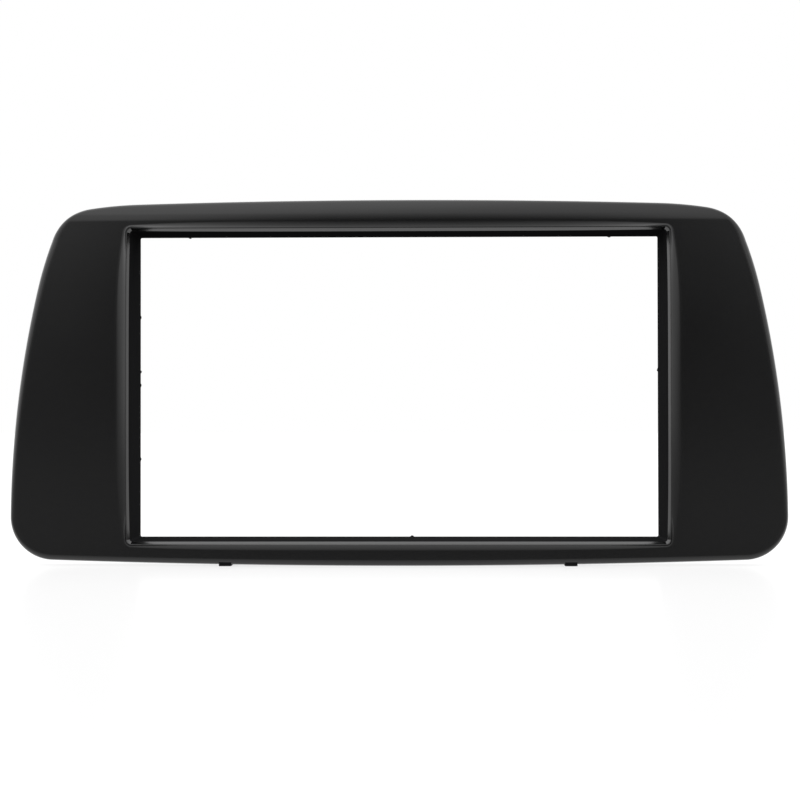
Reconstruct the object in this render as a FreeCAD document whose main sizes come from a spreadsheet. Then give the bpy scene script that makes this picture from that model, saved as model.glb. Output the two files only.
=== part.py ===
"""Car radio mounting frame: the plastic surround that closes a dashboard round a double-height radio.

One matt black moulding. A thin crowned face with a rolled edge runs into a skirt all round. A soft
raised lip frames the opening, and behind it a straight collar takes the radio. Webs tie the collar
to the skirt, two of them run out as feet, and four snap hooks on the back hold the frame in place.

Millimetres. X to the right and Z up as seen from the front, Y towards the back. The sketches count
depth from the crest of the lip. The finished frame stands on its feet, with its origin at the bottom
centre of its box.
"""
import FreeCAD, Part
import math
import os
import Sketcher
from FreeCAD import Placement, Rotation, Vector

SIZES = [
    # Opening, the standard aperture of a double-height radio
    ("opening_width", 178.0),
    ("opening_height", 103.0),
    ("opening_corner", 0.5),
    # Face around the opening
    ("top_strip", 10.7),
    ("bottom_strip", 8.4),
    ("side_panel", 40.4),
    ("waist_height", 13.5),
    ("top_bow", 2780.0),
    ("bottom_bow", 3400.0),
    ("side_bow", 350.0),
    ("bottom_corner", 14.5),
    # Top corners: a tight arc between two easier ones, which start this far from the side and the top
    ("top_corner", 16.5),
    ("corner_ease", 120.0),
    ("ease_from_side", 42.4),
    ("ease_from_top", 29.1),
    # Rolled edge: soft at the sides and below, crisp along the top
    ("edge_roll", 2.0),
    ("top_roll", 0.8),
    # How the face falls back towards its top edge
    ("shoulder_drop", 21.0),
    ("shoulder_radius", 160.0),
    ("brow_drop", 6.5),
    ("brow_radius", 18.0),
    # Walls
    ("face_wall", 2.4),
    ("skirt_wall", 2.0),
    ("skirt_depth", 11.0),
    ("collar_wall", 2.4),
    ("collar_depth", 20.0),
    # Lip round the opening: its height, its crest and the width of its slopes
    ("lip_rise", 1.0),
    ("lip_crest", 1.2),
    ("crest_round", 0.6),
    ("side_slope", 3.3),
    ("top_slope", 1.6),
    ("bottom_slope", 1.6),
    ("corner_slope", 0.9),
    # Webs behind the face
    ("web_wall", 1.5),
    ("web_setback", 1.5),
    ("web_pitch", 39.0),
    # Feet
    ("foot_offset", 57.5),
    ("foot_width", 4.0),
    ("foot_setback", 0.4),
    # Snap hooks
    ("hook_offset", 107.0),
    ("hook_spread", 39.0),
    ("hook_width", 10.0),
    ("hook_wall", 1.8),
    ("hook_reach", 24.0),
    ("barb_height", 1.6),
    ("barb_length", 5.0),
    ("barb_lead", 0.6),
    # How far a cutting shape runs past what it cuts
    ("overrun", 5.0),
]

XZ_PLANE = Rotation(Vector(1, 0, 0), 90)
YZ_PLANE = Rotation(Vector(1, 1, 1), 120)
XY_PLANE = Rotation()


class Size:
    """A length worked out from the sheet: its value now, and the formula that keeps it true."""

    def __init__(self, value, formula):
        self.value = value
        self.formula = formula

    @staticmethod
    def of(other):
        return other if isinstance(other, Size) else Size(float(other), str(other))

    def __add__(self, other):
        other = Size.of(other)
        return Size(self.value + other.value, f"({self.formula} + {other.formula})")

    def __sub__(self, other):
        other = Size.of(other)
        return Size(self.value - other.value, f"({self.formula} - {other.formula})")

    def __mul__(self, other):
        other = Size.of(other)
        return Size(self.value * other.value, f"({self.formula} * {other.formula})")

    def __truediv__(self, other):
        other = Size.of(other)
        return Size(self.value / other.value, f"({self.formula} / {other.formula})")

    def __neg__(self):
        return Size(-self.value, f"(-{self.formula})")


doc = FreeCAD.newDocument("radio_mounting_frame")
sheet = doc.addObject("Spreadsheet::Sheet", "sizes")
for row, (alias, value) in enumerate(SIZES, start=1):
    sheet.set(f"A{row}", alias)
    sheet.set(f"B{row}", str(value))
    sheet.setAlias(f"B{row}", alias)
doc.recompute()
S = {alias: Size(float(sheet.get(alias)), f"sizes.{alias}") for alias, _ in SIZES}
NONE = Size(0.0, "0")

# Sizes that follow from the driving ones
face_height = S["bottom_strip"] + S["opening_height"] + S["top_strip"]
half_width = S["opening_width"] / 2 + S["side_panel"]
opening_middle = S["bottom_strip"] + S["opening_height"] / 2
half_opening = S["opening_width"] / 2
in_face = S["lip_rise"] + S["face_wall"] / 2
shoulder_height = face_height - S["shoulder_drop"]
brow_start = face_height - S["brow_drop"]
side_bow_end = face_height - S["ease_from_top"]
top_bow_end = half_width - S["ease_from_side"]
TOUCH = 0.01


def sketch_on(name, plane, offset=None, axis="y"):
    """Make an empty sketch on a plane, moved along an axis by a size."""
    sketch = doc.addObject("Sketcher::SketchObject", name)
    sketch.Placement = Placement(Vector(), plane)
    if offset is not None:
        sketch.setExpression(f"Placement.Base.{axis}", offset.formula)
    return sketch


def measure(sketch, kind, where, size):
    """Add one dimension to a sketch and tie it to the sheet."""
    index = sketch.addConstraint(Sketcher.Constraint(kind, *where, size.value))
    sketch.setExpression(f"Constraints[{index}]", size.formula)


def pin(sketch, geometry, point, x=None, y=None):
    """Hold a point of a sketch at distances from the sketch's origin."""
    for kind, axis, size in (("DistanceX", -2, x), ("DistanceY", -1, y)):
        if size is None:
            continue
        if size.value == 0:
            sketch.addConstraint(Sketcher.Constraint("PointOnObject", geometry, point, axis))
        elif size.value > 0:
            measure(sketch, kind, (-1, 1, geometry, point), size)
        else:
            measure(sketch, kind, (geometry, point, -1, 1), -size)


def flat(x, y):
    """A point of a sketch from two sizes."""
    return Vector(x.value, y.value, 0)


def turned_arc(centre, radius, start, end):
    """An arc drawn anticlockwise from one angle to another, in radians."""
    return Part.ArcOfCircle(Part.Circle(centre, Vector(0, 0, 1), radius), start, end)


def bearing(origin, target):
    """The direction from one point to another, in radians."""
    return math.atan2(target.y - origin.y, target.x - origin.x)


def nested_centre(first, first_radius, second, second_radius, radius, near):
    """The centre, on the side of a given point, of a small circle that touches two large ones from within."""
    a = first_radius - radius
    b = second_radius - radius
    apart = second - first
    gap = apart.Length
    along = (a * a - b * b + gap * gap) / (2 * gap)
    across = math.sqrt(a * a - along * along)
    unit = Vector(apart).normalize()
    foot = first + unit * along
    sideways = Vector(-unit.y, unit.x, 0) * across
    return min(foot - sideways, foot + sideways, key=lambda centre: (centre - near).Length)


def eased_centre(bow_centre, bow, ease, heading):
    """The centre of a circle that touches a bow from within, in a given direction from the bow's centre."""
    return bow_centre + heading * (bow - ease)


def polygon(sketch, corners):
    """Draw a closed outline of straight lines through pinned corners."""
    points = [flat(x, y) for x, y in corners]
    count = len(points)
    for i in range(count):
        sketch.addGeometry(Part.LineSegment(points[i], points[(i + 1) % count]), False)
    for i in range(count):
        sketch.addConstraint(Sketcher.Constraint("Coincident", i, 2, (i + 1) % count, 1))
    for i, (x, y) in enumerate(corners):
        pin(sketch, i, 1, x, y)


def outline_rounds(side):
    """The centres of the four small arcs on one side of the face, from the bottom corner up."""
    width, height = half_width.value, face_height.value
    side_bow, top_bow, bottom_bow = S["side_bow"].value, S["top_bow"].value, S["bottom_bow"].value
    ease, corner = S["corner_ease"].value, S["top_corner"].value
    below = Vector(0, bottom_bow, 0)
    beside = Vector(side * (width - side_bow), S["waist_height"].value, 0)
    above = Vector(0, height - top_bow, 0)
    low_corner = nested_centre(
        below, bottom_bow, beside, side_bow, S["bottom_corner"].value, Vector(side * width, 0, 0)
    )
    rise = (side_bow_end - S["waist_height"]).value / side_bow
    lean = top_bow_end.value / top_bow
    low_ease = eased_centre(beside, side_bow, ease, Vector(side * math.sqrt(1 - rise * rise), rise, 0))
    high_ease = eased_centre(above, top_bow, ease, Vector(side * lean, math.sqrt(1 - lean * lean), 0))
    high_corner = nested_centre(low_ease, ease, high_ease, ease, corner, Vector(side * width, height, 0))
    return [low_corner, low_ease, high_corner, high_ease]


def face_outline(name, inset, depth):
    """The outline of the face: four long bows joined by round corners, moved inwards by inset."""
    sketch = sketch_on(name, XZ_PLANE, depth)
    below = NONE, S["bottom_bow"]
    right = half_width - S["side_bow"], S["waist_height"]
    above = NONE, face_height - S["top_bow"]
    left = S["side_bow"] - half_width, S["waist_height"]
    small = [S["bottom_corner"], S["corner_ease"], S["top_corner"], S["corner_ease"]]
    rights, lefts = outline_rounds(1), outline_rounds(-1)
    centres = [flat(*below), rights[0], flat(*right), *rights[1:]]
    centres += [flat(*above), *lefts[:0:-1], flat(*left), lefts[0]]
    radii = [S["bottom_bow"], small[0], S["side_bow"], *small[1:]]
    radii += [S["top_bow"], *small[:0:-1], S["side_bow"], small[0]]
    radii = [radius - inset for radius in radii]
    count = len(radii)
    joints = []
    for i in range(count):
        j = (i + 1) % count
        large, little = (i, j) if radii[i].value > radii[j].value else (j, i)
        joints.append(bearing(centres[large], centres[little]))
    for i in range(count):
        sketch.addGeometry(turned_arc(centres[i], radii[i].value, joints[i - 1], joints[i]), False)
    for i in range(count):
        sketch.addConstraint(Sketcher.Constraint("Tangent", i, 2, (i + 1) % count, 1))
        measure(sketch, "Radius", (i,), radii[i])
    bottom_arc, right_arc, top_arc, left_arc = 0, 2, 6, 10
    for arc, centre in ((bottom_arc, below), (right_arc, right), (top_arc, above), (left_arc, left)):
        pin(sketch, arc, 3, *centre)
    end_height = S["waist_height"] + (side_bow_end - S["waist_height"]) * radii[right_arc] / S["side_bow"]
    end_width = top_bow_end * radii[top_arc] / S["top_bow"]
    pin(sketch, right_arc, 2, y=end_height)
    pin(sketch, left_arc, 1, y=end_height)
    pin(sketch, top_arc, 1, x=end_width)
    pin(sketch, top_arc, 2, x=-end_width)
    return sketch


def side_profile(name, inset):
    """The face seen from the side, moved back by inset: upright, then falling back at the top."""
    sketch = sketch_on(name, YZ_PLANE)
    front = S["lip_rise"] + inset
    low = -S["overrun"]
    back = S["skirt_depth"] + S["overrun"]
    lean = (brow_start - shoulder_height) / S["shoulder_radius"]
    shoulder_centre = S["lip_rise"] + S["shoulder_radius"], shoulder_height
    brow_height = brow_start - S["brow_radius"] * lean
    shoulder = S["shoulder_radius"] - inset
    brow = S["brow_radius"] - inset
    top = face_height + S["overrun"] / 2
    angle = math.asin(lean.value)
    reach = (S["shoulder_radius"].value - S["brow_radius"].value) * math.cos(angle)
    brow_centre = Vector(shoulder_centre[0].value - reach, brow_height.value, 0)
    crest = math.pi - math.asin((top - brow_height).value / brow.value)
    first = turned_arc(flat(*shoulder_centre), shoulder.value, math.pi - angle, math.pi)
    second = turned_arc(brow_centre, brow.value, crest, math.pi - angle)
    tip = second.StartPoint
    foot = flat(front, low)
    sketch.addGeometry(Part.LineSegment(foot, first.EndPoint), False)
    sketch.addGeometry(first, False)
    sketch.addGeometry(second, False)
    sketch.addGeometry(Part.LineSegment(tip, Vector(back.value, tip.y, 0)), False)
    sketch.addGeometry(Part.LineSegment(Vector(back.value, tip.y, 0), flat(back, low)), False)
    sketch.addGeometry(Part.LineSegment(flat(back, low), foot), False)
    sketch.addConstraint(Sketcher.Constraint("Tangent", 0, 2, 1, 2))
    sketch.addConstraint(Sketcher.Constraint("Tangent", 1, 1, 2, 2))
    sketch.addConstraint(Sketcher.Constraint("Coincident", 2, 1, 3, 1))
    sketch.addConstraint(Sketcher.Constraint("Coincident", 3, 2, 4, 1))
    sketch.addConstraint(Sketcher.Constraint("Coincident", 4, 2, 5, 1))
    sketch.addConstraint(Sketcher.Constraint("Coincident", 5, 2, 0, 1))
    for line, kind in ((0, "Vertical"), (3, "Horizontal"), (4, "Vertical"), (5, "Horizontal")):
        sketch.addConstraint(Sketcher.Constraint(kind, line))
    measure(sketch, "Radius", (1,), shoulder)
    measure(sketch, "Radius", (2,), brow)
    pin(sketch, 1, 3, *shoulder_centre)
    pin(sketch, 2, 3, y=brow_height)
    pin(sketch, 2, 1, y=top)
    pin(sketch, 5, 1, x=back, y=low)
    return sketch


def rounded_window(name, grow, depth):
    """The opening's outline, moved outwards by grow: straight sides and round corners."""
    sketch = sketch_on(name, XZ_PLANE, depth)
    radius = S["opening_corner"] + grow
    right = half_opening + grow
    top = S["bottom_strip"] + S["opening_height"] + grow
    bottom = S["bottom_strip"] - grow
    centres = [
        (right - radius, bottom + radius),
        (right - radius, top - radius),
        (radius - right, top - radius),
        (radius - right, bottom + radius),
    ]
    for i, (x, y) in enumerate(centres):
        quarter = math.pi / 2 * (i - 1)
        corner = turned_arc(flat(x, y), radius.value, quarter, quarter + math.pi / 2)
        sketch.addGeometry(corner, False)
    for i in range(4):
        start = sketch.Geometry[i].EndPoint
        end = sketch.Geometry[(i + 1) % 4].StartPoint
        sketch.addGeometry(Part.LineSegment(start, end), False)
    for i in range(4):
        sketch.addConstraint(Sketcher.Constraint("Tangent", i, 2, 4 + i, 1))
        sketch.addConstraint(Sketcher.Constraint("Tangent", 4 + i, 2, (i + 1) % 4, 1))
        measure(sketch, "Radius", (i,), radius)
        pin(sketch, i, 3, *centres[i])
    return sketch


def bowed_window(name, depth):
    """The lip's foot: round corners close to the opening, and sides that bow out between them."""
    sketch = sketch_on(name, XZ_PLANE, depth)
    steep = depth / S["lip_rise"]
    corner = S["lip_crest"] + S["corner_slope"] * steep
    sides = S["lip_crest"] + S["side_slope"] * steep
    above = S["lip_crest"] + S["top_slope"] * steep
    below = S["lip_crest"] + S["bottom_slope"] * steep
    radius = S["opening_corner"] + corner
    opening_top = S["bottom_strip"] + S["opening_height"]
    right = half_opening + corner
    top = opening_top + corner
    bottom = S["bottom_strip"] - corner
    ends = [
        ((right - radius, bottom), (right, bottom + radius)),
        ((right, top - radius), (right - radius, top)),
        ((radius - right, top), (-right, top - radius)),
        ((-right, bottom + radius), (radius - right, bottom)),
    ]
    middles = [
        (half_opening + sides, opening_middle),
        (NONE, opening_top + above),
        (-(half_opening + sides), opening_middle),
        (NONE, S["bottom_strip"] - below),
    ]
    centres = [
        (right - radius, bottom + radius),
        (right - radius, top - radius),
        (radius - right, top - radius),
        (radius - right, bottom + radius),
    ]
    for i, (x, y) in enumerate(centres):
        quarter = math.pi / 2 * (i - 1)
        sketch.addGeometry(turned_arc(flat(x, y), radius.value, quarter, quarter + math.pi / 2), False)
    for i in range(4):
        start = flat(*ends[i][1])
        end = flat(*ends[(i + 1) % 4][0])
        bow = Part.Arc(start, flat(*middles[i]), end)
        sketch.addGeometry(bow, False)
    for i in range(4):
        sketch.addGeometry(Part.Point(flat(*middles[i])), True)
    for i in range(4):
        sketch.addConstraint(Sketcher.Constraint("Coincident", i, 2, 4 + i, 1))
        sketch.addConstraint(Sketcher.Constraint("Coincident", 4 + i, 2, (i + 1) % 4, 1))
        pin(sketch, i, 1, *ends[i][0])
        pin(sketch, i, 2, *ends[i][1])
        measure(sketch, "Radius", (i,), radius)
        pin(sketch, 8 + i, 1, *middles[i])
        sketch.addConstraint(Sketcher.Constraint("PointOnObject", 8 + i, 1, 4 + i))
    return sketch


def extrude(name, sketch, direction, length, both_ways=False):
    """Pull a sketch into a solid along a direction."""
    solid = doc.addObject("Part::Extrusion", name)
    solid.Base = sketch
    solid.DirMode = "Custom"
    solid.Dir = direction
    solid.Solid = True
    solid.Symmetric = both_ways
    solid.setExpression("LengthFwd", length.formula)
    return solid


def combine(kind, name, shapes):
    """Fuse shapes, or keep what they share."""
    result = doc.addObject(kind, name)
    result.Shapes = shapes
    result.Refine = True
    return result


def cut(name, base, tool):
    """Take one shape out of another."""
    result = doc.addObject("Part::Cut", name)
    result.Base = base
    result.Tool = tool
    result.Refine = True
    return result


def round_edges(name, base, edges):
    """Round edges of a shape, each given with its number and the radii at its two ends."""
    result = doc.addObject("Part::Fillet", name)
    result.Base = base
    result.Edges = edges
    return result


REAR = Vector(0, 1, 0)
ACROSS = Vector(1, 0, 0)
UP = Vector(0, 0, 1)


def face_body(name, edge_inset, face_inset, length):
    """The space behind the face and inside its outline, moved inwards by two insets."""
    prism = extrude(f"{name}_prism", face_outline(f"{name}_outline", edge_inset, NONE), REAR, length)
    width = half_width * 2 + S["overrun"]
    profile = side_profile(f"{name}_profile", face_inset)
    slab = extrude(f"{name}_slab", profile, ACROSS, width, both_ways=True)
    return combine("Part::MultiCommon", name, [prism, slab])


def roll_at(point):
    """How far the edge rolls at a point of the outline: soft at the side, crisp from the brow up."""
    low, high = shoulder_height.value, brow_start.value
    share = min(max((point.z - low) / (high - low), 0), 1)
    return S["edge_roll"].value + (S["top_roll"].value - S["edge_roll"].value) * share


def face_rim(shape):
    """The edges where the face turns into the skirt, with the roll at both ends of each."""
    rims = []
    for number, edge in enumerate(shape.Edges, start=1):
        box = edge.BoundBox
        on_rear = box.YMax > S["skirt_depth"].value - TOUCH
        level = box.ZLength < TOUCH and box.ZMax > S["bottom_strip"].value
        if not on_rear and not level:
            first, last = edge.valueAt(edge.FirstParameter), edge.valueAt(edge.LastParameter)
            rims.append((number, roll_at(first), roll_at(last)))
    return rims


def opening_crest(shape):
    """The front edges of the opening, each with the round of the lip's crest."""
    radius = S["crest_round"].value
    top = S["bottom_strip"] + S["opening_height"]
    crest = []
    for number, edge in enumerate(shape.Edges, start=1):
        box = edge.BoundBox
        in_front = abs(box.YMin) < TOUCH and abs(box.YMax) < TOUCH
        if in_front and box.XMax < half_opening.value + TOUCH and box.ZMax < top.value + TOUCH:
            if box.XMin > -half_opening.value - TOUCH and box.ZMin > S["bottom_strip"].value - TOUCH:
                crest.append((number, radius, radius))
    return crest


# Face and skirt: the rolled outer form less the space behind it
blank = face_body("blank", NONE, NONE, S["skirt_depth"])
doc.recompute()
rolled = round_edges("rolled_face", blank, face_rim(blank.Shape))
hollow = face_body("hollow", S["skirt_wall"], S["face_wall"], S["skirt_depth"] + S["overrun"])
shell = cut("shell", rolled, hollow)

# Lip: a low frame that slopes down to the face
lip = doc.addObject("Part::Loft", "lip")
lip.Sections = [rounded_window("lip_crest_line", S["lip_crest"], NONE), bowed_window("lip_foot", in_face)]
lip.Solid = True
lip.Ruled = True

# Collar that the radio slides into
collar_line = rounded_window("collar_line", S["collar_wall"], in_face)
collar = extrude("collar", collar_line, REAR, S["collar_depth"] - in_face)

# Webs between the collar and the skirt
web_lines = []
for step in (-1, 0, 1):
    middle = opening_middle + S["web_pitch"] * step
    half = S["web_wall"] / 2
    corners = [
        (-half_width, middle - half),
        (half_width, middle - half),
        (half_width, middle + half),
        (-half_width, middle + half),
    ]
    sketch = sketch_on(f"side_web_{step + 2}", XZ_PLANE, in_face)
    polygon(sketch, corners)
    web_lines.append(sketch)
for step in (-1, 0, 1):
    middle = S["foot_offset"] * step
    half = S["web_wall"] / 2
    corners = [
        (middle - half, -S["overrun"]),
        (middle + half, -S["overrun"]),
        (middle + half, face_height),
        (middle - half, face_height),
    ]
    sketch = sketch_on(f"upright_web_{step + 2}", XZ_PLANE, in_face)
    polygon(sketch, corners)
    web_lines.append(sketch)
web_length = S["skirt_depth"] - S["web_setback"] - in_face
webs = [extrude(f"{line.Name}_pad", line, REAR, web_length) for line in web_lines]
web_grid = combine("Part::MultiFuse", "web_grid", webs)
web_space = face_body("web_space", S["skirt_wall"] / 2, S["face_wall"] / 2, S["skirt_depth"])
trimmed_webs = combine("Part::MultiCommon", "trimmed_webs", [web_grid, web_space])

# Feet: the two lower webs run out past the skirt, from the face to the back of the collar
feet = []
for side in (-1, 1):
    sketch = sketch_on(f"foot_profile_{side + 2}", YZ_PLANE, S["foot_offset"] * side, axis="x")
    front = S["lip_rise"] + S["foot_setback"]
    collar_underside = S["bottom_strip"] - S["collar_wall"] / 2
    corners = [
        (front, NONE),
        (S["collar_depth"], NONE),
        (S["collar_depth"], collar_underside),
        (in_face, collar_underside),
        (front, S["edge_roll"]),
    ]
    polygon(sketch, corners)
    feet.append(extrude(f"foot_{side + 2}", sketch, ACROSS, S["foot_width"], both_ways=True))

# Snap hooks: springy tongues with a barb that points outwards
hooks = []
for side in (-1, 1):
    for level in (-1, 1):
        height = opening_middle + S["hook_spread"] / 2 * level
        sketch = sketch_on(f"hook_profile_{side + 2}_{level + 2}", XY_PLANE, height, axis="z")
        inner = S["hook_offset"] * side
        outer = (S["hook_offset"] + S["hook_wall"]) * side
        barb = (S["hook_offset"] + S["hook_wall"] + S["barb_height"]) * side
        corners = [
            (inner, in_face),
            (outer, in_face),
            (outer, S["hook_reach"] - S["barb_length"]),
            (barb, S["hook_reach"] - S["barb_length"] + S["barb_lead"]),
            (outer, S["hook_reach"]),
            (inner, S["hook_reach"]),
        ]
        polygon(sketch, corners)
        hook = extrude(f"hook_{side + 2}_{level + 2}", sketch, UP, S["hook_width"], both_ways=True)
        hooks.append(hook)

# All together, with the opening cut through
moulding = combine("Part::MultiFuse", "moulding", [shell, lip, collar, trimmed_webs] + feet + hooks)
opening_line = rounded_window("opening_line", NONE, -S["overrun"])
opening = extrude("opening", opening_line, REAR, S["collar_depth"] + S["overrun"] * 2)
pierced = cut("pierced", moulding, opening)
doc.recompute()

frame = round_edges("mounting_frame", pierced, opening_crest(pierced.Shape))
frame.Label = "mounting_frame"
frame.setExpression("Placement.Base.y", (-S["hook_reach"] / 2).formula)
doc.recompute()

faults = [item.Label for item in doc.Objects if "Invalid" in item.State or "Error" in item.State]
if frame.Shape.isNull() or not frame.Shape.isValid() or len(frame.Shape.Solids) != 1:
    faults.append(f"{frame.Label} shape")
if faults:
    raise SystemExit("These objects failed: " + ", ".join(faults))

os.makedirs("parts", exist_ok=True)
frame.Shape.exportStep(f"parts/{frame.Label}.step")
solid = frame.Shape.Solids[0]
box = solid.optimalBoundingBox()
print(f"{frame.Label}: {solid.Volume / 1000:.2f} cm3, centre {solid.CenterOfMass}, {len(solid.Faces)} faces")
print(f"box {box.XMin:.3f} {box.YMin:.3f} {box.ZMin:.3f} to {box.XMax:.3f} {box.YMax:.3f} {box.ZMax:.3f}")
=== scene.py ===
"""Dashboard surround for a double-height car radio: one matt black moulding on a white studio floor.

Metres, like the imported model: X to the right and Z up as seen from the front, Y towards the back.
Depths are counted from the crest of the lip, which is the foremost line of the moulding.
"""

import logging
import math
from dataclasses import dataclass
from enum import Enum

import bmesh
import bpy
from mathutils import Matrix, Vector


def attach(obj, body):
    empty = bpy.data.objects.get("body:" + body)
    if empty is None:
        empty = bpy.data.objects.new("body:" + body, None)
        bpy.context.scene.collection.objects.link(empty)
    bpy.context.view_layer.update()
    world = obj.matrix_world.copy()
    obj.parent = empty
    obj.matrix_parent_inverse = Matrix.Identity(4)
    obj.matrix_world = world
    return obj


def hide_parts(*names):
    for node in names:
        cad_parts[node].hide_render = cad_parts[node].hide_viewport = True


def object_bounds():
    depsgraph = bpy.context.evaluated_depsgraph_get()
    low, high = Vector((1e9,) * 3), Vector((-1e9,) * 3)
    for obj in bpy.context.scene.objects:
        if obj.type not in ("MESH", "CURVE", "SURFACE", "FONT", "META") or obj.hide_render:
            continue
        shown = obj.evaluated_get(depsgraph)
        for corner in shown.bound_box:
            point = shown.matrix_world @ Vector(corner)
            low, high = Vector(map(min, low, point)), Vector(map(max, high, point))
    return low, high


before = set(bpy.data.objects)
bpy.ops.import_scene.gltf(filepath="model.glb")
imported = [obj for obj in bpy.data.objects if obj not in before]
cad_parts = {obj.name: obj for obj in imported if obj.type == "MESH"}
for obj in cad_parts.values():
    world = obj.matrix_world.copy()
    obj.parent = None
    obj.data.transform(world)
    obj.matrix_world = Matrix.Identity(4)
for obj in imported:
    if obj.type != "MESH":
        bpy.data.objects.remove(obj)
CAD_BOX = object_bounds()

MM = 0.001
NODE = "mounting_frame"
SHARP_ANGLE = math.radians(34)
log = logging.getLogger("scene")

Point = tuple[float, float]
Corner = tuple[float, float, float]


class Side(Enum):
    """The two halves of the moulding, as seen from the front."""

    LEFT = -1
    RIGHT = 1


class Finish(Enum):
    """Which finish a ring of the moulding starts: the order is that of the material slots."""

    SATIN = 0
    SPARKED = 1


@dataclass(frozen=True)
class Station:
    """One place along a closed loop: where it is, which way is outwards, and how far along its side."""

    x: float
    z: float
    nx: float
    nz: float
    along: float = 1.0
    side: str = "corner"

    def moved(self, distance: float) -> Point:
        """The place a distance outwards from here."""
        return self.x + self.nx * distance, self.z + self.nz * distance


@dataclass(frozen=True)
class Counts:
    """How many stations each stretch of a loop has, and how many rings each surface has.

    Opening and outline share their stations, so their rings match.
    """

    level: int = 180
    low_corner: int = 40
    upright: int = 90
    ease: int = 16
    tight: int = 32
    lip: int = 14
    face: int = 34
    roll: int = 10
    rim: int = 3
    back: int = 16

    @property
    def high_corner(self) -> int:
        """The stations of a top corner, with its two easier arcs."""
        return self.tight + 2 * self.ease


@dataclass(frozen=True)
class Outline:
    """The outline of the face: four long bows, simple lower corners and eased upper ones."""

    half_width: float = 129.4 * MM
    height: float = 122.1 * MM
    waist_height: float = 13.5 * MM
    top_bow: float = 2780.0 * MM
    bottom_bow: float = 3400.0 * MM
    side_bow: float = 350.0 * MM
    bottom_corner: float = 14.5 * MM
    top_corner: float = 16.5 * MM
    corner_ease: float = 120.0 * MM
    ease_from_side: float = 42.4 * MM
    ease_from_top: float = 29.1 * MM

    def _nested(self, first: Vector, a: float, second: Vector, b: float, near: Vector) -> Vector:
        """Find a point at two distances from two centres.

        Args:
            first: One centre.
            a: The distance from it.
            second: The other centre.
            b: The distance from that one.
            near: A rough guess, which picks one of the two answers.

        Returns:
            The point nearest to the guess.
        """
        apart = second - first
        gap = apart.length
        along = (a * a - b * b + gap * gap) / (2 * gap)
        across = math.sqrt(a * a - along * along)
        unit = apart / gap
        foot = first + unit * along
        sideways = Vector((-unit.y, unit.x)) * across
        return min(foot - sideways, foot + sideways, key=lambda centre: (centre - near).length)

    def _arcs(self) -> list[tuple[Vector, float]]:
        """The centres and radii of the twelve arcs, anticlockwise from the bottom bow."""
        below = Vector((0.0, self.bottom_bow))
        above = Vector((0.0, self.height - self.top_bow))
        lean = (self.half_width - self.ease_from_side) / self.top_bow
        rise = (self.height - self.ease_from_top - self.waist_height) / self.side_bow
        halves = {}
        for side in Side:
            s = side.value
            beside = Vector((s * (self.half_width - self.side_bow), self.waist_height))
            low = self._nested(
                below, self.bottom_bow - self.bottom_corner,
                beside, self.side_bow - self.bottom_corner, Vector((s * self.half_width, 0.0)),
            )
            low_facing = Vector((s * math.sqrt(1 - rise * rise), rise))
            high_facing = Vector((s * lean, math.sqrt(1 - lean * lean)))
            low_ease = beside + low_facing * (self.side_bow - self.corner_ease)
            high_ease = above + high_facing * (self.top_bow - self.corner_ease)
            reach = self.corner_ease - self.top_corner
            near = Vector((s * self.half_width, self.height))
            tight = self._nested(low_ease, reach, high_ease, reach, near)
            halves[side] = [
                (low, self.bottom_corner), (beside, self.side_bow), (low_ease, self.corner_ease),
                (tight, self.top_corner), (high_ease, self.corner_ease),
            ]
        left = halves[Side.LEFT][::-1]
        return [(below, self.bottom_bow), *halves[Side.RIGHT], (above, self.top_bow), *left]

    def stations(self, counts: Counts) -> list[Station]:
        """Walk round the outline.

        Args:
            counts: How many stations each stretch has.

        Returns:
            The stations, anticlockwise from the left end of the bottom bow.
        """
        arcs = self._arcs()
        right = [counts.low_corner, counts.upright, counts.ease, counts.tight, counts.ease]
        steps = [counts.level, *right, counts.level, *right[::-1]]
        joints = []
        for i, (centre, radius) in enumerate(arcs):
            next_centre, next_radius = arcs[(i + 1) % len(arcs)]
            towards = next_centre - centre if radius > next_radius else centre - next_centre
            joints.append(math.atan2(towards.y, towards.x))
        found = []
        for i, (centre, radius) in enumerate(arcs):
            start, end = joints[i - 1], joints[i]
            if end < start:
                end += math.tau
            for step in range(steps[i]):
                angle = start + (end - start) * step / steps[i]
                c, s = math.cos(angle), math.sin(angle)
                found.append(Station(centre.x + radius * c, centre.y + radius * s, c, s))
        return found

    def half_width_at(self, z: float) -> float:
        """Half the width of the outline at a height on its side bows."""
        rise = z - self.waist_height
        return self.half_width - self.side_bow + math.sqrt(self.side_bow ** 2 - rise ** 2)

    def top_at(self, x: float) -> float:
        """The height of the top bow at a distance from the middle."""
        return self.height - self.top_bow + math.sqrt(self.top_bow ** 2 - x ** 2)

    def bottom_at(self, x: float) -> float:
        """The height of the bottom bow at a distance from the middle."""
        return self.bottom_bow - math.sqrt(self.bottom_bow ** 2 - x ** 2)


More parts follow.
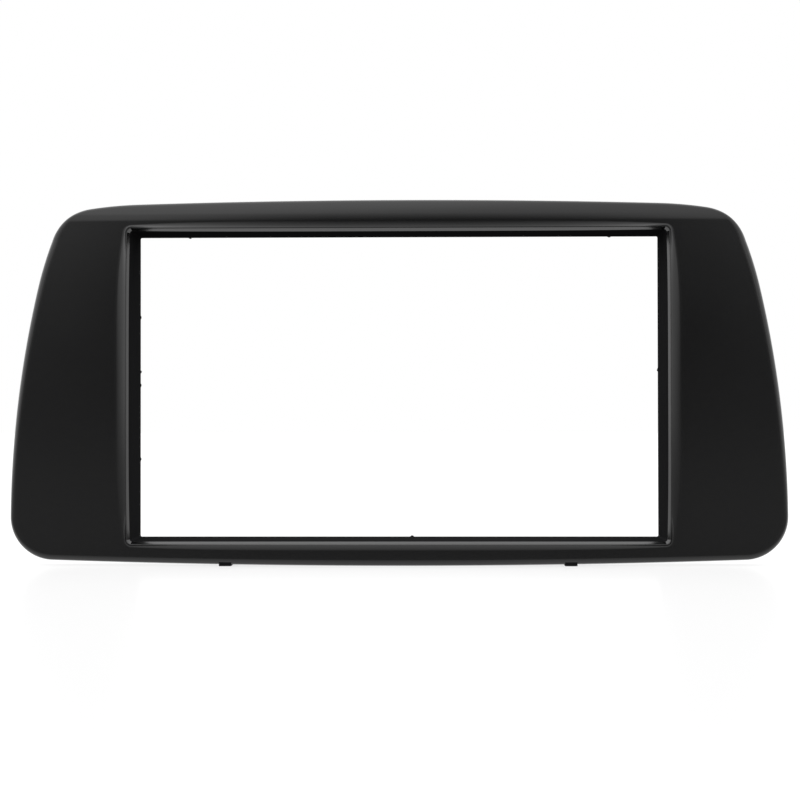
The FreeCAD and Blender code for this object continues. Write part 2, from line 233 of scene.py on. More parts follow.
@dataclass(frozen=True)
class Opening:
    """The rectangular opening for the radio, at the back of the collar, with small round corners."""

    width: float = 178.0 * MM
    height: float = 103.0 * MM
    bottom: float = 8.4 * MM
    corner: float = 0.5 * MM

    @property
    def middle(self) -> float:
        """The height of the opening's middle."""
        return self.bottom + self.height / 2

    @property
    def top(self) -> float:
        """The height of the opening's upper edge."""
        return self.bottom + self.height

    def stations(self, counts: Counts) -> list[Station]:
        """Walk round the opening.

        Args:
            counts: How many stations each stretch has.

        Returns:
            The stations, anticlockwise from the left end of the lower edge.
        """
        half_x, half_z = self.width / 2 - self.corner, self.height / 2 - self.corner
        sides = [
            ("bottom", counts.level, counts.low_corner, -math.pi / 2),
            ("side", counts.upright, counts.high_corner, 0.0),
            ("top", counts.level, counts.high_corner, math.pi / 2),
            ("side", counts.upright, counts.low_corner, math.pi),
        ]
        found = []
        for name, straight, bend, facing in sides:
            c, s = math.cos(facing), math.sin(facing)
            reach, run = (half_x, half_z) if name == "side" else (half_z, half_x)
            reach += self.corner
            for step in range(straight):
                v = -1 + 2 * step / straight
                x, z = c * reach - s * run * v, s * reach + c * run * v
                found.append(Station(x, self.middle + z, c, s, abs(v), name))
            for step in range(bend):
                angle = facing + math.pi / 2 * step / bend
                cx, cz = c * (reach - self.corner) - s * run, s * (reach - self.corner) + c * run
                nx, nz = math.cos(angle), math.sin(angle)
                found.append(Station(cx + nx * self.corner, self.middle + cz + nz * self.corner, nx, nz))
        return found


@dataclass(frozen=True)
class BySide:
    """A measure of the lip that has its own value on each side of the opening, and one for the corners."""

    side: float
    top: float
    bottom: float
    corner: float
    fullness: float = 4.0

    def at(self, station: Station) -> float:
        """The side's own value midway along it, which runs into the corners' value at its ends."""
        full = getattr(self, station.side)
        return self.corner + (full - self.corner) * (1 - station.along ** self.fullness)


@dataclass(frozen=True)
class Lip:
    """The raised lip round the opening: a lead-in for the radio, a narrow crest and a hollow outer slope.

    Drafts widen the collar at its front. Crests are the distance from the opening to the crest's outer
    end, slopes the width beyond it, and dips how far the crest lies back. Glints are the share of the
    lead-in's width where its smooth part starts. The lead-in then runs through the shares of its width
    and depth in lead_curve.
    """

    rise: float = 1.0 * MM
    lead_depth: float = 2.0 * MM
    crest_width: float = 0.07 * MM
    drafts: BySide = BySide(0.25 * MM, 0.03 * MM, 0.25 * MM, 0.15 * MM)
    crests: BySide = BySide(1.55 * MM, 1.15 * MM, 1.4 * MM, 1.2 * MM)
    slopes: BySide = BySide(3.25 * MM, 2.35 * MM, 2.0 * MM, 0.9 * MM)
    hollows: BySide = BySide(1.7, 2.0, 2.0, 1.7)
    glints: BySide = BySide(0.32, 0.02, 0.05, 0.15)
    dips: BySide = BySide(0.0, 0.5 * MM, 0.0, 0.0)
    lead_start: float = 1.04
    lead_lean: float = 1.12
    lead_curve: tuple[Point, ...] = ((0.78, 0.16), (0.9, 0.055), (1.0, 0.012), (1.06, 0.0))
    first_step: float = 0.3


@dataclass(frozen=True)
class Crown:
    """How the face falls back towards its top edge: a tight shoulder, then a gentle brow."""

    shoulder_drop: float = 7.3 * MM
    shoulder_radius: float = 7.6 * MM
    brow_drop: float = 4.7 * MM
    brow_radius: float = 30.0 * MM


@dataclass(frozen=True)
class Walls:
    """Wall thicknesses and depths of the moulding, and the small radii of its back."""

    face: float = 2.4 * MM
    skirt: float = 2.0 * MM
    skirt_depth: float = 11.0 * MM
    collar: float = 2.4 * MM
    collar_depth: float = 20.0 * MM
    edge_roll: float = 2.0 * MM
    top_roll: float = 0.8 * MM
    roll_drop: float = 14.0 * MM
    rim_round: float = 0.3 * MM
    rear_round: float = 0.2 * MM
    inner_fillet: float = 0.7 * MM
    fillet_middle: float = 0.3
    throat_steps: tuple[float, float] = (0.7, 0.4)


@dataclass(frozen=True)
class Ring:
    """One closed line round the moulding: its places, their depths, and how much of the crown it follows."""

    places: list[Point]
    depths: list[float]
    follow: float
    finish: Finish = Finish.SATIN


def group_input(tree: bpy.types.NodeTree, name: str, kind: str, value: float | None = None) -> None:
    """Add a named input to a node tree.

    Args:
        tree: The tree.
        name: What the input is called.
        kind: Its socket type, such as NodeSocketFloat.
        value: Its default, for a number.
    """
    socket = tree.interface.new_socket(name, in_out="INPUT", socket_type=kind)
    if value is not None:
        socket.default_value = value


def set_input(modifier: bpy.types.Modifier, name: str, value: object) -> None:
    """Set a modifier's input by the identifier that its name stands for.

    Args:
        modifier: A Geometry Nodes modifier.
        name: The input's name in the tree.
        value: What it is set to.
    """
    for item in modifier.node_group.interface.items_tree:
        if item.item_type == "SOCKET" and item.in_out == "INPUT" and item.name == name:
            modifier[item.identifier] = value
            return
    raise KeyError(name)


def link_object(name: str, mesh: bpy.types.Mesh) -> bpy.types.Object:
    """Put a mesh into the scene under a name."""
    thing = bpy.data.objects.new(name, mesh)
    bpy.context.scene.collection.objects.link(thing)
    return thing


def settled_mesh(source: bpy.types.Object, name: str) -> bpy.types.Mesh:
    """Turn an object with its modifiers into a plain mesh, and remove the object.

    Args:
        source: The object.
        name: The new mesh's name.

    Returns:
        The plain mesh.
    """
    depsgraph = bpy.context.evaluated_depsgraph_get()
    mesh = bpy.data.meshes.new_from_object(source.evaluated_get(depsgraph), depsgraph=depsgraph)
    mesh.name = name
    bpy.data.objects.remove(source)
    return mesh


class NodeLine:
    """A short way to write trees of nodes: each call adds one node, sets it up and links its inputs."""

    def __init__(self, tree: bpy.types.NodeTree) -> None:
        """Start on a tree."""
        self.tree = tree

    def add(self, kind: str, *inputs: object, **settings: object) -> bpy.types.Node:
        """Add a node.

        Args:
            kind: The node's type.
            inputs: Its first inputs in order: a socket is linked, a value is set, and None is skipped.
            settings: The node's own properties.

        Returns:
            The node.
        """
        node = self.tree.nodes.new(kind)
        for key, value in settings.items():
            setattr(node, key, value)
        for socket, given in zip(node.inputs, inputs):
            self.feed(socket, given)
        return node

    def feed(self, socket: bpy.types.NodeSocket, given: object) -> None:
        """Link or set one input."""
        if isinstance(given, bpy.types.NodeSocket):
            self.tree.links.new(given, socket)
        elif given is not None:
            socket.default_value = given

    def maths(self, operation: str, *inputs: object) -> bpy.types.NodeSocket:
        """Add a Math node and give its result."""
        return self.add("ShaderNodeMath", *inputs, operation=operation).outputs[0]


def crown_tree() -> bpy.types.NodeTree:
    """Make the tree that lets a flat face fall back along two arcs.

    Returns:
        A tree with named inputs for the arcs. It moves each point back by its own share.
    """
    tree = bpy.data.node_groups.new("crown", "GeometryNodeTree")
    group_input(tree, "Geometry", "NodeSocketGeometry")
    for name in ("Shoulder Height", "Shoulder Radius", "Brow Height", "Brow Radius"):
        group_input(tree, name, "NodeSocketFloat", 0.1)
    tree.interface.new_socket("Geometry", in_out="OUTPUT", socket_type="NodeSocketGeometry")
    line = NodeLine(tree)
    given = line.add("NodeGroupInput").outputs
    place = line.add("GeometryNodeInputPosition").outputs[0]
    height = line.add("ShaderNodeSeparateXYZ", place).outputs["Z"]
    low, radius = given["Shoulder Height"], given["Shoulder Radius"]
    high, brow = given["Brow Height"], given["Brow Radius"]
    reach = line.maths("SUBTRACT", high, low)
    climb = line.maths("MINIMUM", line.maths("MAXIMUM", line.maths("SUBTRACT", height, low), 0.0), reach)
    shoulder = line.maths("SUBTRACT", radius, _chord(line, radius, climb))
    lean = line.maths("DIVIDE", reach, radius)
    start = line.maths("MULTIPLY", brow, lean)
    over = line.maths("ADD", start, line.maths("MAXIMUM", line.maths("SUBTRACT", height, high), 0.0))
    fall = line.maths("SUBTRACT", _chord(line, brow, start), _chord(line, brow, over))
    share = line.add("GeometryNodeInputNamedAttribute", "follow", data_type="FLOAT").outputs[0]
    back = line.maths("MULTIPLY", line.maths("ADD", shoulder, fall), share)
    offset = line.add("ShaderNodeCombineXYZ", None, back).outputs[0]
    moved = line.add("GeometryNodeSetPosition", given["Geometry"], None, None, offset)
    line.add("NodeGroupOutput", moved.outputs[0])
    return tree


def _chord(line: NodeLine, radius: object, climb: object) -> bpy.types.NodeSocket:
    """The other side of a right triangle, from its long side and one short one."""
    squares = [line.maths("MULTIPLY", value, value) for value in (radius, climb)]
    return line.maths("SQRT", line.maths("SUBTRACT", *squares))


def copies_tree(name: str) -> bpy.types.NodeTree:
    """Make the tree that puts a turned and stretched copy of one shape on each point.

    Args:
        name: The tree's name.

    Returns:
        A tree with named inputs for the shape, the finish and a random turn.
    """
    tree = bpy.data.node_groups.new(name, "GeometryNodeTree")
    group_input(tree, "Geometry", "NodeSocketGeometry")
    group_input(tree, "Shape", "NodeSocketObject")
    group_input(tree, "Finish", "NodeSocketMaterial")
    group_input(tree, "Turn", "NodeSocketFloat", 0.0)
    group_input(tree, "Seed", "NodeSocketInt", 0)
    tree.interface.new_socket("Geometry", in_out="OUTPUT", socket_type="NodeSocketGeometry")
    line = NodeLine(tree)
    given = line.add("NodeGroupInput").outputs
    points = line.add("GeometryNodeMeshToPoints", given["Geometry"]).outputs[0]
    shape = line.add("GeometryNodeObjectInfo", given["Shape"]).outputs["Geometry"]
    size = line.add("GeometryNodeInputNamedAttribute", "size", data_type="FLOAT_VECTOR").outputs[0]
    heading = line.add("GeometryNodeInputNamedAttribute", "heading", data_type="FLOAT_VECTOR").outputs[0]
    chance = line.add("FunctionNodeRandomValue", data_type="FLOAT")
    line.feed(chance.inputs["Seed"], given["Seed"])
    angle = line.maths("MULTIPLY", chance.outputs[1], given["Turn"])
    spin = line.add("ShaderNodeCombineXYZ", None, angle).outputs[0]
    turned = line.add("ShaderNodeVectorMath", heading, spin, operation="ADD").outputs[0]
    placed = line.add("GeometryNodeInstanceOnPoints", points)
    line.feed(placed.inputs["Instance"], shape)
    line.feed(placed.inputs["Rotation"], turned)
    line.feed(placed.inputs["Scale"], size)
    real = line.add("GeometryNodeRealizeInstances", placed.outputs[0]).outputs[0]
    dressed = line.add("GeometryNodeSetMaterial", real)
    line.feed(dressed.inputs["Material"], given["Finish"])
    line.add("NodeGroupOutput", dressed.outputs[0])
    return tree


@dataclass(frozen=True)
class Spot:
    """Where one copy of a shape goes, how it is turned and how it is stretched."""

    place: Corner
    size: Corner = (1.0, 1.0, 1.0)
    heading: Corner = (0.0, 0.0, 0.0)


def scatter(name: str, shape: bpy.types.Mesh, spots: list[Spot], finish: bpy.types.Material,
            turn: float = 0.0, seed: int = 0) -> bpy.types.Mesh:
    """Copy a shape to a list of spots with Geometry Nodes.

    Args:
        name: The result's name.
        shape: The shape's mesh, at the origin.
        spots: Where its copies go.
        finish: Their material.
        turn: The most that a copy is turned by chance, in radians.
        seed: The seed of that chance.

    Returns:
        A plain mesh with all the copies.
    """
    points = bpy.data.meshes.new(f"{name}_points")
    points.from_pydata([spot.place for spot in spots], [], [])
    for attribute, values in (("size", [s.size for s in spots]), ("heading", [s.heading for s in spots])):
        layer = points.attributes.new(attribute, "FLOAT_VECTOR", "POINT")
        layer.data.foreach_set("vector", [number for value in values for number in value])
    holder = link_object(f"{name}_points", points)
    pattern = link_object(f"{name}_shape", shape)
    modifier = holder.modifiers.new(name, "NODES")
    modifier.node_group = copies_tree(name)
    set_input(modifier, "Shape", pattern)
    set_input(modifier, "Finish", finish)
    set_input(modifier, "Turn", turn)
    set_input(modifier, "Seed", seed)
    mesh = settled_mesh(holder, name)
    bpy.data.objects.remove(pattern)
    return mesh


def prism(name: str, outline: list[Point], length: float, axis: str) -> bpy.types.Mesh:
    """Pull a flat outline into a closed solid, centred along one axis.

    Args:
        name: The mesh's name.
        outline: Corners in order, as (depth, height) for a solid along X, or (sideways, depth) along Z.
        length: How long the solid is.
        axis: "x" or "z".

    Returns:
        The solid's mesh, with its faces outwards.
    """
    shape = bmesh.new()
    half = length / 2
    ends = []
    for reach in (-half, half):
        if axis == "x":
            ends.append([shape.verts.new((reach, a, b)) for a, b in outline])
        else:
            ends.append([shape.verts.new((a, b, reach)) for a, b in outline])
    count = len(outline)
    for i in range(count):
        j = (i + 1) % count
        shape.faces.new((ends[0][i], ends[0][j], ends[1][j], ends[1][i]))
    shape.faces.new(ends[0])
    shape.faces.new(ends[1])
    bmesh.ops.recalc_face_normals(shape, faces=shape.faces)
    mesh = bpy.data.meshes.new(name)
    shape.to_mesh(mesh)
    shape.free()
    return mesh


@dataclass(frozen=True)
class MouldedPlastic:
    """Black moulded plastic: a very fine grain, and a sheen that varies a little over the surface."""

    name: str
    colour: Corner
    colour_spread: float
    roughness: float
    roughness_spread: float
    specular: float
    grain: float
    grain_height: float
    cloud_scale: float = 30.0
    cloud_detail: float = 3.0
    grain_detail: float = 2.0
    noise_reach: tuple[float, float] = (0.6, 1.4)

    def material(self) -> bpy.types.Material:
        """Make the material.

        Returns:
            A material whose colour, roughness and bump come from noise in Object coordinates.
        """
        material = bpy.data.materials.new(self.name)
        material.use_nodes = True
        tree = material.node_tree
        tree.nodes.clear()
        line = NodeLine(tree)
        place = line.add("ShaderNodeTexCoord").outputs["Object"]
        cloud = self._noise(line, place, self.cloud_scale, self.cloud_detail)
        speck = self._noise(line, place, 1 / self.grain, self.grain_detail)
        tint = line.add("ShaderNodeMixRGB", cloud, self._shade(1 - self.colour_spread),
                        self._shade(1 + self.colour_spread)).outputs[0]
        shell = line.add("ShaderNodeBsdfPrincipled")
        line.feed(shell.inputs["Base Color"], tint)
        sheen = line.add("ShaderNodeMapRange", line.maths("ADD", cloud, speck), *self.noise_reach,
                         self.roughness - self.roughness_spread, self.roughness + self.roughness_spread)
        line.feed(shell.inputs["Roughness"], sheen.outputs[0])
        shell.inputs["Specular IOR Level"].default_value = self.specular
        bump = line.add("ShaderNodeBump", 1.0, self.grain_height)
        line.feed(bump.inputs["Height"], speck)
        line.feed(shell.inputs["Normal"], bump.outputs[0])
        line.add("ShaderNodeOutputMaterial", shell.outputs[0])
        return material

    def _noise(self, line: NodeLine, place: bpy.types.NodeSocket, scale: float,
               detail: float) -> bpy.types.NodeSocket:
        """Add one noise and give its value."""
        noise = line.add("ShaderNodeTexNoise", place)
        noise.inputs["Scale"].default_value = scale
        noise.inputs["Detail"].default_value = detail
        return noise.outputs[0]

    def _shade(self, share: float) -> tuple[float, float, float, float]:
        """The colour made a little darker or lighter."""
        return (*(value * share for value in self.colour), 1.0)


SATIN = MouldedPlastic("satin_black", (0.004, 0.004, 0.0042), 0.06, 0.18, 0.02, 0.5, 0.35 * MM, 0.0015 * MM)
SPARKED = MouldedPlastic("sparked_black", (0.011, 0.011, 0.0115), 0.15, 0.9, 0.05, 0.0, 0.5 * MM, 0.03 * MM)


class Moulding:
    """The whole frame in one piece: a skin of rings, with ribs, feet, hooks and burrs."""

    def __init__(self) -> None:
        """Take the sizes of every part of the moulding."""
        self.counts = Counts()
        self.outline = Outline()
        self.opening = Opening()
        self.lip = Lip()
        self.crown = Crown()
        self.walls = Walls()
        self.edge = self.outline.stations(self.counts)
        self.window = self.opening.stations(self.counts)
        self.crest_y = CAD_BOX[0].y

    def rings(self) -> list[Ring]:
        """The rings in order: out of the opening, over the lip and face, round the skirt and back."""
        walls, rear = self.walls, self.walls.collar_depth
        back = self.lip.rise + walls.face
        cut, fillet = walls.rear_round, walls.inner_fillet
        rings = [self.round_opening(cut, rear)]
        depths = [rear - cut, *(rear * share for share in walls.throat_steps)]
        rings += [self.throat(depth) for depth in depths]
        rings += self.lead_in() + self.slope() + self.face() + self.rolled_edge() + self.skirt()
        rings += self.back_of_face(back + fillet, back)
        middle = fillet * walls.fillet_middle
        for grow, depth in ((fillet, 0.0), (middle, middle), (0.0, fillet)):
            rings.append(self.round_opening(walls.collar + grow, back + depth, follow=1.0))
        rings.append(self.round_opening(walls.collar, rear - cut))
        rings.append(self.round_opening(walls.collar - cut, rear))
        return rings

    def round_opening(self, grow: float, depth: float, follow: float = 0.0) -> Ring:
        """A ring at one distance out from the opening's wall."""
        return Ring([s.moved(grow) for s in self.window], [depth] * len(self.window), follow)

    def inside_outline(self, inset: float, depth: float, follow: float = 0.0) -> Ring:
        """A ring at one distance in from the outline."""
        return Ring([s.moved(-inset) for s in self.edge], [depth] * len(self.edge), follow)

    def throat(self, depth: float) -> Ring:
        """A ring on the collar's inside, which widens a little towards the front."""
        rear = self.walls.collar_depth
        share = (rear - depth) / (rear - self.lip.lead_depth)
        places = [s.moved(self.lip.drafts.at(s) * share) for s in self.window]
        return Ring(places, [depth] * len(places), 0.0, Finish.SPARKED)

    def lead_in(self) -> list[Ring]:
        """The slope that guides the radio in, bulging a little, and the narrow crest."""
        lip = self.lip
        lip, count = self.lip, len(self.window)
        smooth = []
        for station in self.window:
            glint = lip.glints.at(station)
            smooth.append((glint, lip.lead_start - lip.lead_lean * glint))
        rings = [self._lead_ring([(0.0, lip.lead_start)] * count, Finish.SPARKED)]
        rings.append(self._lead_ring(smooth, Finish.SATIN))
        rings += [self._lead_ring([shares] * count, Finish.SATIN) for shares in lip.lead_curve]
        return rings

    def _lead_ring(self, shares: list[Point], finish: Finish) -> Ring:
        """A ring on the lead-in, from the share of its width and of its depth at each station."""
        lip = self.lip
        places, depths = [], []
        for station, (across, deep) in zip(self.window, shares):
            draft = lip.drafts.at(station)
            width = lip.crests.at(station) - lip.crest_width - draft
            places.append(station.moved(draft + width * across))
            depths.append(lip.dips.at(station) + lip.lead_depth * deep)
        return Ring(places, depths, 0.0, finish)

    def slope(self) -> list[Ring]:
        """The lip's outer slope, steep at the crest and hollow towards the face."""
        lip, count = self.lip, self.counts.lip
        rings = []
        for step in range(count + 1):
            t = (step + lip.first_step) / (count + lip.first_step)
            places = [s.moved(lip.crests.at(s) + lip.slopes.at(s) * t) for s in self.window]
            falls = [1 - (1 - t) ** lip.hollows.at(s) for s in self.window]
            dips = [lip.dips.at(s) for s in self.window]
            drops = [dip + (lip.rise - dip) * fall for dip, fall in zip(dips, falls)]
            rings.append(Ring(places, drops, 1.0))
        return rings

    def roll_at(self, station: Station) -> float:
        """How far the edge rolls at a station: soft at the sides and below, crisp along the top."""
        low = self.outline.height - self.walls.roll_drop
        high = self.outline.height - self.crown.brow_drop
        share = min(max((station.z - low) / (high - low), 0.0), 1.0)
        return self.walls.edge_roll + (self.walls.top_roll - self.walls.edge_roll) * share

    def face(self) -> list[Ring]:
        """The face, from the foot of the lip to where its edge starts to roll."""
        count = self.counts.face
        foot = [s.moved(self.lip.crests.at(s) + self.lip.slopes.at(s)) for s in self.window]
        brink = [s.moved(-self.roll_at(s)) for s in self.edge]
        rings = []
        for step in range(1, count + 1):
            t = step / count
            places = [(a[0] + (b[0] - a[0]) * t, a[1] + (b[1] - a[1]) * t) for a, b in zip(foot, brink)]
            rings.append(Ring(places, [self.lip.rise] * len(places), 1.0))
        return rings

    def rolled_edge(self) -> list[Ring]:
        """The rolled edge between the face and the skirt."""
        count = self.counts.roll
        rings = []
        for step in range(1, count + 1):
            angle = math.pi / 2 * step / count
            rolls = [self.roll_at(s) for s in self.edge]
            places = [s.moved(-r * (1 - math.sin(angle))) for s, r in zip(self.edge, rolls)]
            depths = [self.lip.rise + r * (1 - math.cos(angle)) for r in rolls]
            rings.append(Ring(places, depths, 1.0))
        return rings

    def skirt(self) -> list[Ring]:
        """The skirt's outer wall, its rounded rim and its inner wall."""
        rim, deep, wall = self.walls.rim_round, self.walls.skirt_depth, self.walls.skirt
        count = self.counts.rim
        rings = []
        for step in range(count + 1):
            angle = math.pi / 2 * step / count
            inset = rim * (1 - math.cos(angle))
            rings.append(self.inside_outline(inset, deep - rim * (1 - math.sin(angle))))
        for step in range(count + 1):
            angle = math.pi / 2 * step / count
            inset = wall - rim * (1 - math.sin(angle))
            rings.append(self.inside_outline(inset, deep - rim * (1 - math.cos(angle))))
        return rings

    def back_of_face(self, start: float, floor: float) -> list[Ring]:
        """The back of the face, from the skirt's inner wall to the collar.

        Args:
            start: The depth at which the skirt's inner wall turns into the fillet.
            floor: The depth of the back of the face.

        Returns:
            The rings, with a fillet at the skirt.
        """
        fillet, wall, count = self.walls.inner_fillet, self.walls.skirt, self.counts.back
        middle = fillet * self.walls.fillet_middle
        rings = [
            self.inside_outline(wall, start, 1.0),
            self.inside_outline(wall + middle, floor + middle, 1.0),
            self.inside_outline(wall + fillet, floor, 1.0),
        ]
        outer = [s.moved(-wall - fillet) for s in self.edge]
        inner = [s.moved(self.walls.collar + fillet) for s in self.window]
        for step in range(1, count):
            t = step / count
            places = [(a[0] + (b[0] - a[0]) * t, a[1] + (b[1] - a[1]) * t) for a, b in zip(outer, inner)]
            rings.append(Ring(places, [floor] * len(places), 1.0))
        return rings

    def crowned(self, mesh: bpy.types.Mesh, name: str) -> bpy.types.Mesh:
        """Let a mesh fall back at the top with the face, as far as its follow attribute says."""
        holder = link_object(name, mesh)
        modifier = holder.modifiers.new("crown", "NODES")
        modifier.node_group = bpy.data.node_groups.get("crown") or crown_tree()
        crown, height = self.crown, self.outline.height
        set_input(modifier, "Shoulder Height", height - crown.shoulder_drop)
        set_input(modifier, "Shoulder Radius", crown.shoulder_radius)
        set_input(modifier, "Brow Height", height - crown.brow_drop)
        set_input(modifier, "Brow Radius", crown.brow_radius)
        return settled_mesh(holder, name)

    def skin(self, finishes: list[bpy.types.Material]) -> bpy.types.Mesh:
        """Join the rings into one closed skin, and let the face fall back at the top.

        Args:
            finishes: The materials, in the order of Finish.

        Returns:
            The skin's mesh.
        """
        rings = self.rings()
        count = len(self.edge)
        places, shares, faces, kinds = [], [], [], []
        for ring in rings:
            places += [(x, self.crest_y + d, z) for (x, z), d in zip(ring.places, ring.depths)]
            shares += [ring.follow] * count
        for i, ring in enumerate(rings):
            here, there = i * count, (i + 1) % len(rings) * count
            for j in range(count):
                k = (j + 1) % count
                faces.append((here + j, here + k, there + k, there + j))
                kinds.append(ring.finish.value)
        mesh = bpy.data.meshes.new("skin")
        mesh.from_pydata(places, [], faces)
        for finish in finishes:
            mesh.materials.append(finish)
        mesh.polygons.foreach_set("material_index", kinds)
        mesh.attributes.new("follow", "FLOAT", "POINT").data.foreach_set("value", shares)
        return self.crowned(mesh, "skin")

    def build(self, finishes: list[bpy.types.Material]) -> bpy.types.Object:
        """Make the whole moulding as one closed mesh.

        Args:
            finishes: The materials, in the order of Finish.

        Returns:
            The piece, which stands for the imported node.
        """
        body = link_object("moulding", self.skin(finishes))
        extras = bmesh.new()
        makers = [Ribs(self), Feet(self), Hooks(self), Burrs(self)]
        for maker in makers:
            mesh = maker.mesh(finishes[Finish.SATIN.value])
            extras.from_mesh(mesh)
            log.info("%s: %d faces", mesh.name, len(mesh.polygons))
        added = bpy.data.meshes.new("extras")
        extras.to_mesh(added)
        extras.free()
        added.materials.append(finishes[Finish.SATIN.value])
        tool = link_object("extras", added)
        union = body.modifiers.new("union", "BOOLEAN")
        union.operation = "UNION"
        union.solver = "MANIFOLD"
        union.object = tool
        mesh = settled_mesh(body, "moulding")
        bpy.data.objects.remove(tool)
        self.smooth(mesh)
        piece = link_object("moulding", mesh)
        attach(piece, "root")
        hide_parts(NODE)
        log.info("moulding: %d faces, %d corners", len(mesh.polygons), len(mesh.vertices))
        return piece

    @staticmethod
    def smooth(mesh: bpy.types.Mesh) -> None:
        """Shade the mesh smooth, with the sharp edges of its back kept."""
        mesh.shade_smooth()
        mesh.set_sharp_from_angle(angle=SHARP_ANGLE)


@dataclass
class Ribs:
    """The webs between collar and skirt: three behind each side panel, three above and one below."""

    moulding: Moulding
    wall: float = 1.5 * MM
    setback: float = 1.5 * MM
    pitch: float = 39.0 * MM
    upright_offset: float = 57.5 * MM
    bite: float = 0.6 * MM

    def box(self, low: Corner, high: Corner) -> Spot:
        """The spot of a unit cube stretched between two corners."""
        place = tuple((a + b) / 2 for a, b in zip(low, high))
        return Spot(place, tuple(b - a for a, b in zip(low, high)))

    def spots(self) -> list[Spot]:
        """Where each web goes: it bites a little into the walls at its ends and into the face's back."""
        m, half, bite = self.moulding, self.wall / 2, self.bite
        opening, walls, outline = m.opening, m.walls, m.outline
        front = m.crest_y + m.lip.rise + walls.face - bite
        rear = m.crest_y + walls.skirt_depth - self.setback
        found = []
        for step in (-1, 0, 1):
            z = opening.middle + self.pitch * step
            inner = opening.width / 2 + walls.collar - bite
            outer = outline.half_width_at(z) - walls.skirt + bite
            found.append(self.box((inner, front, z - half), (outer, rear, z + half)))
            found.append(self.box((-outer, front, z - half), (-inner, rear, z + half)))
        base = opening.top + walls.collar - bite
        for x in (-self.upright_offset, 0.0, self.upright_offset):
            top = outline.top_at(x) - walls.skirt + bite
            found.append(self.box((x - half, front, base), (x + half, rear, top)))
        low = outline.bottom_at(0.0) + walls.skirt - bite
        found.append(self.box((-half, front, low), (half, rear, opening.bottom - walls.collar + bite)))
        return found

    def mesh(self, finish: bpy.types.Material) -> bpy.types.Mesh:
        """All the webs as one mesh, whose front falls back with the face."""
        steps = 12
        climb = [step / steps - 0.5 for step in range(steps + 1)]
        outline = [(-0.5, z) for z in climb] + [(0.5, z) for z in reversed(climb)]
        webs = scatter("ribs", prism("rib", outline, 1.0, "x"), self.spots(), finish)
        middle = self.moulding.crest_y + self.moulding.walls.skirt_depth / 2
        follow = webs.attributes.new("follow", "FLOAT", "POINT")
        follow.data.foreach_set("value", [float(vertex.co.y < middle) for vertex in webs.vertices])
        return self.moulding.crowned(webs, "ribs")


@dataclass
class Feet:
    """The two lower webs that run out past the skirt and carry the frame."""

    moulding: Moulding
    offset: float = 57.5 * MM
    width: float = 4.0 * MM
    setback: float = 0.4 * MM

    def mesh(self, finish: bpy.types.Material) -> bpy.types.Mesh:
        """Both feet as one mesh."""
        m = self.moulding
        start = m.crest_y + m.lip.rise
        rear = m.crest_y + m.walls.collar_depth
        top = m.opening.bottom - m.walls.collar / 2
        side = [
            (start + self.setback, 0.0), (rear, 0.0), (rear, top),
            (start + m.walls.face / 2, top), (start + self.setback, m.walls.edge_roll),
        ]
        shape = prism("foot", side, self.width, "x")
        return scatter("feet", shape, [Spot((side.value * self.offset, 0.0, 0.0)) for side in Side], finish)


@dataclass
class Hooks:
    """The four snap hooks on the back: springy tongues with a barb that points outwards."""

    moulding: Moulding
    offset: float = 107.0 * MM
    spread: float = 39.0 * MM
    width: float = 10.0 * MM
    wall: float = 1.8 * MM
    reach: float = 24.0 * MM
    barb_height: float = 1.6 * MM
    barb_length: float = 5.0 * MM
    barb_lead: float = 0.6 * MM

    def mesh(self, finish: bpy.types.Material) -> bpy.types.Mesh:
        """All four hooks as one mesh."""
        m = self.moulding
        root = m.lip.rise + m.walls.face / 2
        side = [
            (0.0, root), (self.wall, root), (self.wall, self.reach - self.barb_length),
            (self.wall + self.barb_height, self.reach - self.barb_length + self.barb_lead),
            (self.wall, self.reach), (0.0, self.reach),
        ]
        shape = prism("hook", side, self.width, "z")
        spots = []
        for half in Side:
            turn = 0.0 if half is Side.RIGHT else math.pi
            for level in (-1, 1):
                z = m.opening.middle + self.spread / 2 * level
                spots.append(Spot((half.value * self.offset, m.crest_y, z), heading=(0.0, turn, 0.0)))
        return scatter("hooks", shape, spots, finish)


@dataclass
class Burrs:
    """Specks of flash that the mould left on the collar's rear inner edge."""

    moulding: Moulding
    top: tuple[float, ...] = (-72.0 * MM, 72.3 * MM)
    bottom: tuple[float, ...] = (4.6 * MM,)
    left: tuple[float, ...] = (83.9 * MM, 65.0 * MM, 60.5 * MM, 35.0 * MM)
    right: tuple[float, ...] = (65.7 * MM,)
    length: float = 1.3 * MM
    depth: float = 0.7 * MM
    stand: float = 0.55 * MM
    bottom_stretch: float = 1.6
    sink: float = 0.6
    turn: float = 0.5
    seed: int = 7

    def spots(self) -> list[Spot]:
        """Where each speck sits: stretched along its edge."""
        m = self.moulding
        y = m.crest_y + m.walls.collar_depth - self.depth * self.sink
        half = m.opening.width / 2
        level = (self.length, self.depth, self.stand)
        upright = (self.stand, self.depth, self.length)
        found = [Spot((x, y, m.opening.top), level) for x in self.top]
        tall = (*level[:2], level[2] * self.bottom_stretch)
        found += [Spot((x, y, m.opening.bottom), tall) for x in self.bottom]
        found += [Spot((-half, y, z), upright) for z in self.left]
        found += [Spot((half, y, z), upright) for z in self.right]
        return found

    def mesh(self, finish: bpy.types.Material) -> bpy.types.Mesh:
        """All the specks as one mesh."""
        shape = bmesh.new()
        bmesh.ops.create_icosphere(shape, subdivisions=2, radius=0.5)
        speck = bpy.data.meshes.new("speck")
        shape.to_mesh(speck)
        shape.free()
        return scatter("burrs", speck, self.spots(), finish, turn=self.turn, seed=self.seed)


